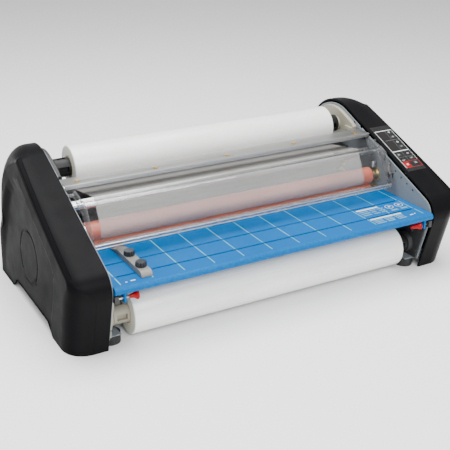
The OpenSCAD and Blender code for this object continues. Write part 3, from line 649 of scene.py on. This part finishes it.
def outline_stations():
    """Points round the casing: (y, z), outward normal, corner radius, rim groove, level inset, foot."""
    stations = []

    def run(a, b, normal, shares, radius, groove=0.0, level=lambda z: 0.0, foot=False):
        for t in shares:
            at = a.lerp(b, t)
            stations.append((at, normal, radius(at[1]), groove, level(at[1]), foot))

    def turn(centre, size, start, end, steps, radius, groove, level):
        for t in even(steps):
            normal = mixed(start, end, t)
            stations.append((on_circle(centre, size, normal), normal, radius(t), groove(t), level(t), False))

    run(Vector((FOOT_FRONT, 0.0)), on_circle(NOSE, NOSE_R, FRONT_N), FRONT_N, even(14), lambda z: FRONT_CORNER,
        level=lambda z: 1.0)
    turn(NOSE, NOSE_R, FRONT_N, SLOPE_N, 26, lambda t: mixed(FRONT_CORNER, RIM_R, smooth(t)),
         lambda t: smooth((t - 0.72) / 0.28), lambda t: 1 - smooth(t))
    run(on_circle(NOSE, NOSE_R, SLOPE_N), SLOPE_TOP, SLOPE_N, even(40), lambda z: RIM_R, 1.0)
    turn(CROWN, CROWN_R, SLOPE_N, REAR_N, 44, lambda t: mixed(RIM_R, SHOULDER, t ** 0.55),
         lambda t: smooth((0.16 - t) / 0.16), lambda t: 0.0)
    top, heel = on_circle(CROWN, CROWN_R, REAR_N), Vector((FOOT_BACK, 0.0))
    shares = sorted(even(20) + [1 - z / top[1] for z in (INLET_TOP, INLET_FOOT)]) + [1.0]
    run(top, heel, REAR_N, shares, lambda z: mixed(REAR_CORNER, SHOULDER, smooth((z - 0.095) / 0.050)),
        level=lambda z: 1 - smooth(z / 0.06))
    feet = [Vector((FOOT_BACK - REAR_CORNER - 0.004, 0.0))] + [Vector(p) for p in reversed(ARCH)]
    feet.append(Vector((FOOT_FRONT + FRONT_CORNER, 0.0)))
    for a, b in zip(feet, feet[1:]):
        run(a, b, 0.0, even(4 if abs(b[1] - a[1]) > 0.01 else 12), lambda z: RIM_R, foot=True)
    return stations


def side_distance(y, z, line):
    """Distance to the right-hand side of an open polyline, seen along its run."""
    best, sign = 1e9, 1.0
    for (y0, z0), (y1, z1) in zip(line, line[1:]):
        dy, dz = y1 - y0, z1 - z0
        t = max(0.0, min(1.0, ((y - y0) * dy + (z - z0) * dz) / (dy * dy + dz * dz)))
        off = math.hypot(y - y0 - t * dy, z - z0 - t * dz)
        if off < best:
            best, sign = off, (1.0 if (y - y0) * dz - (z - z0) * dy > 0 else -1.0)
    return best * sign


def field_depth(y, z):
    """How far the side is sunk at a point: a crisp edge in front and above, a long slope behind."""
    near = smooth(side_distance(y, z, FIELD_FRONT) / 0.0045)
    far = smooth(side_distance(y, z, FIELD_REAR) / 0.029)
    return near * far * mixed(0.0015, FIELD_DEPTH, smooth((z - 0.015) / 0.150))


def ring_groove(y, z):
    """A plain ring, in place of any mark."""
    off = abs((Vector((y, z)) - RING_CENTRE).length - RING_R)
    return 0.0010 * smooth((0.0021 - off) / 0.0014)


def band_points(edge, radius, groove, wall):
    """(x, inset) from the casing's inner edge to the end of its rounded outer corner."""
    corner_x = edge - radius
    step = corner_x - mixed(0.0024, 0.0066, groove)
    points = [(INNER_X, 0.0016), (INNER_X + 0.0012, 0.0), (INLET_X[0], 0.0),
              (min(INLET_X[1], step - 0.0002), 0.0), (step, 0.0), (step + 0.0012, 0.0005 * groove * GROOVE / 0.0016),
              (step + 0.0022, GROOVE * groove), (corner_x - mixed(0.0009, 0.0022, groove), GROOVE * groove),
              (corner_x - 0.0004, 0.5 * GROOVE * groove)]
    points = [(x, inset + wall) for x, inset in points]
    lowered = 0.4 * GROOVE * groove
    for i in range(CORNER_STEPS + 1):
        b = math.pi / 2 * i / CORNER_STEPS
        points.append((corner_x + (radius - wall) * math.sin(b), lowered + radius - (radius - wall) * math.cos(b)))
    return points


def casing_row(at, normal, radius, groove, level, foot, wall):
    """One cross section of a skin, from its inner edge round to near the middle of its side."""
    a = math.radians(normal)
    out = Vector((math.cos(a), math.sin(a)))
    if level:
        out = out.lerp(Vector((1 / out[0], 0.0)), level)
    band = band_points(side_x(at[1]), radius, groove, wall)
    if foot:
        row = [(x, *at) for x, _ in band]
        first = at
    else:
        row = [(x, *(at - out * inset)) for x, inset in band]
        first = at - out * band[-1][1]
    reach = (RING_CENTRE - first).length
    last = 1 - HUB_R / reach
    rim = 0.058 / reach
    shares = [rim * (i + 1) / RIM_STEPS for i in range(RIM_STEPS)]
    shares += [mixed(rim, last, (i + 1) / FIELD_STEPS) for i in range(FIELD_STEPS)]
    for t in shares:
        y, z = first.lerp(RING_CENTRE, t)
        row.append((side_x(z) - field_depth(y, z) - wall, y, z))
    return row


def casing_skin(side, wall):
    """Vertices and faces of one skin of a casing, its faces turned outward."""
    stations = outline_stations()
    rows = [casing_row(*station, wall) for station in stations]
    band = FLAT_POINTS + CORNER_STEPS + 1
    count, n = len(rows), len(rows[0])
    verts = []
    for row in rows:
        for j, (x, y, z) in enumerate(row):
            dip = ring_groove(y, z) if side < 0 and j >= band else 0.0
            verts.append((side * (x - dip), y, max(z, 0.0)))
    faces = []
    for i in range(count):
        k = (i + 1) % count
        low, high = sorted((stations[i][0][1], stations[k][0][1]))
        behind = stations[i][0][0] > 0.2 and low > INLET_FOOT - 0.001 and high < INLET_TOP + 0.001
        for j in range(n - 1):
            if (stations[i][5] or stations[k][5]) and j < band - 1:
                continue
            if side > 0 and behind and j == 2:
                continue
            faces.append([i * n + j, i * n + j + 1, k * n + j + 1, k * n + j])
    faces.append([i * n + n - 1 for i in reversed(range(count))])
    return verts, [face[::-1] for face in faces] if side < 0 else faces


def make_casing(side, name, node):
    """An outer and an inner skin, joined along every open edge."""
    verts, outer = casing_skin(side, 0.0)
    within, _ = casing_skin(side, WALL)
    total = len(verts)
    edges = {}
    for face in outer:
        for a, b in zip(face, face[1:] + face[:1]):
            edges[(a, b)] = edges.get((a, b), 0) + 1
    rims = [[b, a, a + total, b + total] for a, b in edges if (b, a) not in edges]
    faces = outer + [[i + total for i in reversed(face)] for face in outer] + rims
    mesh = bpy.data.meshes.new(name)
    work = bmesh.new()
    made = [work.verts.new(v) for v in verts + within]
    for face in faces:
        work.faces.new([made[i] for i in face])
    bmesh.ops.delete(work, geom=[v for v in work.verts if not v.link_faces], context="VERTS")
    bmesh.ops.remove_doubles(work, verts=work.verts, dist=2e-6)
    work.to_mesh(mesh)
    work.free()
    return add_object(name, mesh, CASING, "root", (node,), 34)


make_casing(-1, "left_casing_shell", "left_casing")
make_casing(1, "right_casing_shell", "right_casing")

# ---------------------------------------------------------------- frame

dress("left_frame_plate", FRAME_PAINT, 0.0006)
dress("right_frame_plate", FRAME_PAINT, 0.0006)
dress("base_pan", PAN_PAINT_AND_SHADE, 0.0006)
dress("rear_cover", BLACK_PLASTIC, 0.0006)
dress("front_rail", RAIL_STEEL_AND_SHADE, 0.0008)
dress("rail_screws", BRASS, 0.0004)
dress("supply_brackets", UPPER_BRACKET, 0.0015)
dress("lower_supply_brackets", LOWER_BRACKET, 0.0015)
dress("table_brackets", PAN_PAINT_AND_SHADE, 0.0006)
dress("heater_rods", CERAMIC)
dress("roller_bushes", BRASS, 0.0004)
dress("pressure_springs", SPRING_STEEL)
dress("drive_motor", MOTOR_PAINT, 0.001)
dress("circuit_board", BOARD, 0.0003)
dress("power_supply", SUPPLY_STEEL, 0.0008)
dress("fan_frames", BLACK_PLASTIC, 0.0006)
dress("power_inlet", BLACK_PLASTIC, 0.0006)
dress("control_panel", PANEL_FILM, 0.0002)

# ---------------------------------------------------------------- film rolls


def film_roll(name, node, core_node, body):
    """Wound film with rounded ends; the end faces are a separate ring of close turns."""
    low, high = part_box(node)
    outer = (high[2] - low[2]) / 2
    inner = (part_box(core_node)[1][2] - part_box(core_node)[0][2]) / 2
    centre = (0, middle(node)[1], middle(node)[2])
    profile = rounded_ring(low[0] + 0.0004, high[0] - 0.0004, inner, outer, 0.0012)
    build(name, *lathe(profile, centre, segments=160, closed=True), WOUND_FILM, body, "film_roll", (node,), 45)
    ends = []
    for x, turn in ((low[0], -1), (high[0], 1)):
        steps = 14
        ring = [(x, mixed(inner + 0.0002, outer - 0.0018, i / steps)) for i in range(steps + 1)]
        back = [(x - turn * 0.0008, r) for _, r in reversed(ring)]
        ends.append(lathe(ring + back, centre, segments=160, closed=True))
    build(name + "_ends", *joined(ends), ROLL_END, body, "film_roll", (), 45)


film_roll("upper_roll", "upper_film_roll", "upper_film_core", "upper_supply")
film_roll("lower_roll", "lower_film_roll", "lower_film_core", "lower_supply")
dress("upper_film_core", CORE)
dress("lower_film_core", CORE)
dress("upper_mandrel", BLACK_PLASTIC, 0.0008)
dress("lower_mandrel", LOWER_MANDREL, 0.0008)
dress("upper_film_web", THIN_FILM)
dress("lower_film_web", THIN_FILM)

# ---------------------------------------------------------------- rollers


def fine_cylinder(name, node, material, slot, body, edge):
    """A smooth turned bar or sleeve in place of a CAD one."""
    low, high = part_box(node)
    radius = (high[2] - low[2]) / 2
    centre = (0, middle(node)[1], middle(node)[2])
    profile = rounded_ring(low[0], high[0], radius * 0.873, radius, edge)
    return build(name, *lathe(profile, centre, segments=128, closed=True), material, body, slot, (node,), 45)


fine_cylinder("upper_silicone", "upper_heat_sleeve", SILICONE, "silicone", "upper_heat_roller", 0.001)
fine_cylinder("lower_silicone", "lower_heat_sleeve", SILICONE, "silicone", "lower_heat_roller", 0.001)
dress("upper_heat_core", ALUMINIUM, 0.0005)
dress("lower_heat_core", ALUMINIUM, 0.0005)
dress("upper_idler_bar", CHROME, 0.0006)
dress("lower_idler_bar", CHROME, 0.0006)
dress("upper_pull_roller", PULL_RUBBER, 0.0008)
dress("lower_pull_roller", PULL_RUBBER, 0.0008)
for gear in ("upper_heat_gear", "lower_heat_gear", "pull_gear", "transfer_gear"):
    dress(gear, GEAR_PLASTIC, 0.0002)
dress("motor_pinion", BRASS, 0.0002)
dress("left_fan_rotor", BLACK_PLASTIC, 0.0003)
dress("right_fan_rotor", BLACK_PLASTIC, 0.0003)

# ---------------------------------------------------------------- table and shield

dress("feed_table", TABLE_BLUE, 0.0005)
dress("shield_panel", SHIELD_CLEAR)
dress("shield_arms", SHIELD_END, 0.0008)


def clamp_strip():
    """The bright strip along the shield's lower edge: a channel between two rounded ridges."""
    low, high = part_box("shield_strip")
    foot, head = Vector((low[1] + 0.0024, low[2] + 0.0026)), Vector((low[1] + 0.0024, high[2] - 0.0052))
    ridge = 0.0023
    outline = arc(foot, ridge, 300, 130, 10)
    outline += [(low[1] + 0.0019, mixed(foot[1], head[1], 0.35)), (low[1] + 0.0019, mixed(foot[1], head[1], 0.65))]
    outline += arc(head, ridge, 230, 60, 10)
    outline += [(high[1] - 0.0016, high[2] - 0.0030), (high[1] - 0.0006, high[2] - 0.0040),
                (high[1] - 0.0006, low[2] + 0.0010), (high[1] - 0.0014, low[2] + 0.0003)]
    build("clamp_strip", *prism(outline, low[0], high[0]), ALUMINIUM, "heat_shield", "shield_trim",
          ("shield_strip",), 50)


clamp_strip()


def rest_pads():
    """Black pads on the frame plates that the shield's ends come down beside."""
    for side, name in ((-1, "left_rest_pad"), (1, "right_rest_pad")):
        low, high = sorted((side * 0.3575, side * 0.3660))
        piece = build(name, *block((low, -0.114, 0.178), (high, -0.100, 0.192)), RUBBER, "root", "rubber", (), 40)
        bevel(piece, 0.003, 4)


rest_pads()
dress("edge_guide", STONE, 0.0012)
dress("power_rocker", RED, 0.0004)
dress("rubber_feet", RUBBER, 0.0015)


def guide_knob(name, node, body):
    """Fluted knob: a lofted, slightly waisted grip with a dished top."""
    low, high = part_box(node)
    centre = middle(node)
    radius = (high[0] - low[0]) / 2 - 0.0001
    tall = high[2] - low[2]
    levels = [(0.0, 0.90, 0.3), (0.03, 0.97, 0.8), (0.12, 1.0, 1.0), (0.60, 0.985, 1.0), (0.84, 0.965, 0.75),
              (0.93, 0.93, 0.4), (0.98, 0.87, 0.1), (1.0, 0.78, 0.0), (0.985, 0.62, 0.0), (0.975, 0.20, 0.0)]
    around = 144
    verts, faces = [], []
    for share, size, flute in levels:
        for k in range(around):
            a = 2 * math.pi * k / around
            wave = 0.5 + 0.5 * math.cos(12 * a)
            r = radius * size * (1 - 0.20 * flute * wave ** 2.0)
            verts.append((centre[0] + r * math.cos(a), centre[1] + r * math.sin(a), low[2] + tall * share))
    for j in range(len(levels) - 1):
        for k in range(around):
            n = (k + 1) % around
            faces.append([j * around + k, j * around + n, (j + 1) * around + n, (j + 1) * around + k])
    faces.append(list(range(around)))
    faces.append([(len(levels) - 1) * around + k for k in range(around)])
    build(name, verts, faces, KNOB, body, "black_plastic", (node,), 50)


guide_knob("front_knob_grip", "front_guide_knob", "front_knob")
guide_knob("rear_knob_grip", "rear_guide_knob", "rear_knob")


def latch_grip(name, node, body, side):
    """Red plunger: a tapered grip flaring into a rounded thumb flange, and its pin."""
    low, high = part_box(node)
    centre = (0, middle(node)[1], middle(node)[2])
    flange = (high[2] - low[2]) / 2 - 0.0001
    if side < 0:
        grip = [(-0.3362, 0.0030), (-0.3335, 0.0036), (-0.3280, 0.0047), (-0.3240, 0.0064), (-0.3222, 0.0084),
                (-0.3214, flange), (-0.3196, flange), (-0.3184, flange - 0.0008), (-0.3181, flange - 0.0026)]
        pin = (-0.3639, -0.3360)
    else:
        grip = [(0.3141, 0.0026), (0.3150, 0.0034), (0.3220, 0.0044), (0.3300, 0.0058), (0.3345, 0.0072),
                (0.3362, 0.0086), (0.3370, flange), (0.3386, flange), (0.3396, flange - 0.0009),
                (0.3399, flange - 0.0028)]
        pin = (0.3395, 0.3639)
    build(name, *lathe(grip, centre, segments=72), RED, body, "red_plastic", (node,), 50)
    ends = [(pin[0], 0.0020), (pin[0] + 0.0006, 0.0025), (pin[1] - 0.0006, 0.0025), (pin[1], 0.0020)]
    build(name + "_pin", *lathe(ends, centre, segments=40), SPRING_STEEL, body, "red_plastic", (), 50)


latch_grip("left_latch_grip", "left_table_latch", "left_latch", -1)
latch_grip("right_latch_grip", "right_table_latch", "right_latch", 1)


def coil_springs():
    """The two pressure springs as true coils."""
    low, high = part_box("pressure_springs")
    wire, turns = 0.0009, 6
    y = (low[1] + high[1]) / 2
    radius = (high[1] - low[1]) / 2 - wire
    parts = []
    for side in (-1, 1):
        x = side * (high[0] - radius - wire)
        steps, around = turns * 28, 8
        verts, faces = [], []
        for i in range(steps + 1):
            a = 2 * math.pi * i / 28
            rise = mixed(low[2] + wire * 1.2, high[2] - wire * 1.2, i / steps)
            out = Vector((math.cos(a), math.sin(a), 0))
            for k in range(around):
                b = 2 * math.pi * k / around
                off = out * (radius + wire * math.cos(b)) + Vector((0, 0, wire * math.sin(b)))
                verts.append(Vector((x, y, rise)) + off)
        for i in range(steps):
            for k in range(around):
                n = (k + 1) % around
                faces.append([i * around + k, i * around + n, (i + 1) * around + n, (i + 1) * around + k])
        faces.append(list(range(around)))
        faces.append([steps * around + k for k in range(around)])
        parts.append((verts, faces))
    build("pressure_coils", *joined(parts), SPRING_STEEL, "root", "spring_steel", ("pressure_springs",), 60)


coil_springs()

# ---------------------------------------------------------------- printed marks

INK_T = 0.00012


def flat_marks(name, boxes, material, body, slot, frame_at=None):
    """Thin printed patches, each given by its corner pair, laid on a plane."""
    parts = [block((x0, y0, z0), (x1, y1, z0 + INK_T)) for x0, y0, x1, y1, z0 in boxes]
    verts, faces = joined(parts)
    if frame_at:
        verts = [frame_at @ Vector(v) for v in verts]
    build(name, verts, faces, material, body, slot, (), 30)


TABLE_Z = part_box("feed_table")[1][2]


def table_marks():
    """Ruled lines and plain blocks where the table has its ruler and notices."""
    lines, blocks, faint = [], [], []
    front, back = -0.2375, -0.0745
    for k in range(12):
        x = (k - 5.5) * 0.0635
        for y0, y1 in ((front, -0.2082), (-0.2018, -0.1542), (-0.1478, back)):
            lines.append((x - 0.0008, y0, x + 0.0008, y1, TABLE_Z))
    for x0, x1, y in ((0.228, 0.284, -0.1590), (0.226, 0.308, -0.2105)):
        blocks.append((x0, y - 0.0055, x1, y, TABLE_Z))
    for x0, x1, y in ((0.228, 0.252, -0.169), (0.256, 0.272, -0.169), (0.228, 0.252, -0.178),
                      (0.256, 0.268, -0.178), (0.228, 0.250, -0.187), (0.256, 0.272, -0.187),
                      (0.276, 0.292, -0.169), (0.276, 0.292, -0.178), (0.276, 0.290, -0.187),
                      (0.228, 0.252, -0.219), (0.257, 0.279, -0.219), (0.284, 0.306, -0.219),
                      (0.228, 0.250, -0.226), (0.257, 0.279, -0.226), (0.284, 0.304, -0.226),
                      (0.228, 0.252, -0.233), (0.257, 0.275, -0.233), (0.284, 0.306, -0.233)):
        faint.append((x0, y - 0.0042, x1, y, TABLE_Z))
    for x in (0.300, 0.326):
        faint.append((x, -0.195, x + 0.018, -0.1885, TABLE_Z))
        blocks.append((x + 0.006, -0.1755, x + 0.011, -0.1705, TABLE_Z))
    blocks += [(-0.338, -0.2335, -0.3345, -0.2305, TABLE_Z), (-0.3275, -0.2325, -0.318, -0.2295, TABLE_Z),
               (0.318, -0.2325, 0.327, -0.2295, TABLE_Z), (0.331, -0.2305, 0.3345, -0.2275, TABLE_Z)]
    flat_marks("table_ruling", lines, TABLE_INK, "root", "table_paint")
    flat_marks("table_notices", blocks, WHITE_INK, "root", "table_paint")
    flat_marks("table_notice_rows", faint, PALE_INK, "root", "table_paint")
    rings = []
    for x in (0.3085, 0.3345):
        profile = [(0.0, 0.0085), (0.0, 0.0097), (INK_T, 0.0097), (INK_T, 0.0085)]
        rings.append(lathe(profile, (x, -0.173, TABLE_Z), "z", 48, True))
    build("table_rings", *joined(rings), WHITE_INK, "root", "table_paint", (), 30)


table_marks()

# The panel's own frame: X across, Y up the slope, Z out of its face
PANEL_FACE = 0.0005
SLOPE_A = math.radians(SLOPE_N - 90)
ON_PANEL = (Matrix.Translation((0, SLOPE_TOP[0], SLOPE_TOP[1])) @ Matrix.Rotation(SLOPE_A, 4, "X")
            @ Matrix.Translation((0, 0, PANEL_FACE)))


def panel_marks():
    """Frames, display windows and plain marks in place of lettering."""
    def bar(x0, t0, x1, t1, z=0.0):
        return (x0 * MM, -t1 * MM, x1 * MM, -t0 * MM, z)

    white = [bar(379.5, 100.4, 427, 102.2), bar(379.5, 102, 380.5, 174), bar(426.3, 102, 427, 174),
             bar(379.5, 173.4, 427, 175.8), bar(379.5, 175.8, 380.5, 231), bar(426.4, 175.8, 427, 209)]
    grey = [bar(387.5, 135.2, 426.2, 136.2), bar(406.8, 103, 407.4, 134), bar(406.8, 137, 407.4, 172),
            bar(402.8, 177, 403.3, 209), bar(381, 194.8, 426, 195.4)]
    red = [bar(398.6, 209.6, 427, 210.8), bar(425.9, 210.8, 427, 231), bar(398.6, 229.9, 427, 231),
           bar(381, 210, 382.4, 231), bar(382.4, 229.0, 398.6, 231), bar(382.4, 209.8, 398.6, 211.4)]
    glass = [bar(384, 105, 403, 131), bar(384, 140, 403, 168)]
    signs = [bar(413, 108, 419, 109.4), bar(414.6, 106, 417.4, 111.4), bar(412.8, 143.6, 419.2, 145.2),
             bar(414.2, 141.4, 415.4, 147.4), bar(416.6, 141.4, 417.8, 147.4),
             bar(412.6, 184, 418.6, 185.2), bar(413.2, 186.6, 418.0, 187.6),
             bar(386, 204.2, 394.4, 205.0), bar(386, 206.2, 392.4, 207.0)]
    flat_marks("panel_frames", white, WHITE_INK, "root", "panel_film", ON_PANEL)
    flat_marks("panel_dividers", grey, GREY_INK, "root", "panel_film", ON_PANEL)
    flat_marks("panel_red_frame", red, RED_INK, "root", "panel_film", ON_PANEL)
    flat_marks("panel_windows", glass, DISPLAY, "root", "panel_film", ON_PANEL)
    flat_marks("panel_signs", signs, SIGN_INK, "root", "panel_film", ON_PANEL)


panel_marks()


KEY_H = 0.0019


def soft_key(node, material, signs):
    """A key cap with rounded corners and edges, and a plain sign on its face."""
    body = node + "_cap"
    low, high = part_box(node)
    centre = (low + high) / 2
    local = ON_PANEL.inverted() @ centre
    half_x = (high[0] - low[0]) / 2
    half_y = ((high[1] - low[1]) - KEY_H * math.sin(SLOPE_A)) / 2 / math.cos(SLOPE_A)
    top = local[2] + KEY_H / 2
    layers = [(0.0, top - KEY_H), (0.0, top - 0.00035), (0.00012, top - 0.00012), (0.0004, top)]
    verts, faces = [], []
    corner, steps = 0.0018, 6
    count = 4 * (steps + 1)
    for inset, z in layers:
        for q, (sx, sy) in enumerate(((1, 1), (-1, 1), (-1, -1), (1, -1))):
            for i in range(steps + 1):
                a = math.pi / 2 * (q + i / steps)
                x = local[0] + sx * (half_x - corner) + (corner - inset) * math.cos(a)
                y = local[1] + sy * (half_y - corner) + (corner - inset) * math.sin(a)
                verts.append(ON_PANEL @ Vector((x, y, z)))
    for j in range(len(layers) - 1):
        for k in range(count):
            n = (k + 1) % count
            faces.append([j * count + k, j * count + n, (j + 1) * count + n, (j + 1) * count + k])
    faces += [list(range(count)), [(len(layers) - 1) * count + k for k in range(count)]]
    slot = "red_plastic" if node == "key_stop" else "key_light"
    build(node + "_face", verts, faces, material, body, slot, (node,), 40)
    boxes = [(local[0] + x0 * MM, local[1] + y0 * MM, local[0] + x1 * MM, local[1] + y1 * MM, top - 0.00002)
             for x0, y0, x1, y1 in signs]
    flat_marks(node + "_sign", boxes, SIGN_INK, body, slot, ON_PANEL)


DASH = (-2.6, -0.5, 2.6, 0.5)
soft_key("key_up", KEY_FILM, [DASH, (-0.5, -2.6, 0.5, 2.6)])
soft_key("key_down", KEY_FILM, [DASH])
soft_key("key_run", KEY_FILM, [(-2.4, -2.4, -1.4, 2.4), (-0.4, -1.6, 0.6, 1.6), (1.6, -0.7, 2.6, 0.7)])
soft_key("key_reverse", KEY_FILM, [(-2.8, 0.6, 2.8, 1.5), (-2.8, -1.5, 0.8, -0.6)])
soft_key("key_stop", RED_KEY, [(-2.6, -2.6, 2.6, 2.6)])
soft_key("key_standby", KEY_FILM, [(-0.5, 0.4, 0.5, 3.2), (-2.4, -2.6, 2.4, -1.8), (-2.4, -1.8, -1.6, 1.2),
                                  (1.6, -1.8, 2.4, 1.2)])

# ---------------------------------------------------------------- floor and light


def plain(name, colour, roughness):
    s = Surface(name, roughness)
    s.colour(mottled(s, colour, 2, 0.995, 1.005))
    return s.mat


def make_stage():
    """A pale floor, a pale world and three soft lights."""
    size = 12.0
    mesh = bpy.data.meshes.new("floor")
    mesh.from_pydata([(-size, -size, 0), (size, -size, 0), (size, size, 0), (-size, size, 0)], [], [(0, 1, 2, 3)])
    mesh.materials.append(plain("floor_paint", (0.90, 0.90, 0.90), 0.7))
    floor = bpy.data.objects.new("floor", mesh)
    bpy.context.scene.collection.objects.link(floor)
    world = bpy.data.worlds.new("studio")
    world.use_nodes = True
    world.node_tree.nodes["Background"].inputs["Color"].default_value = (1.0, 1.0, 1.0, 1)
    world.node_tree.nodes["Background"].inputs["Strength"].default_value = 0.75
    bpy.context.scene.world = world
    for name, at, aim, extent, power in (
        ("top_light", (-0.2, 0.1, 2.6), (0, 0, 0.1), 2.4, 150),
        ("front_light", (-0.4, -2.6, 2.0), (0, 0, 0.15), 1.6, 85),
        ("side_light", (-2.8, -0.3, 1.4), (0, 0, 0.15), 1.4, 20),
    ):
        data = bpy.data.lights.new(name, "AREA")
        data.energy = power
        data.size = extent
        light = bpy.data.objects.new(name, data)
        light.location = at
        light.rotation_mode = "QUATERNION"
        light.rotation_quaternion = (Vector(aim) - Vector(at)).to_track_quat("-Z", "Y")
        bpy.context.scene.collection.objects.link(light)


make_stage()
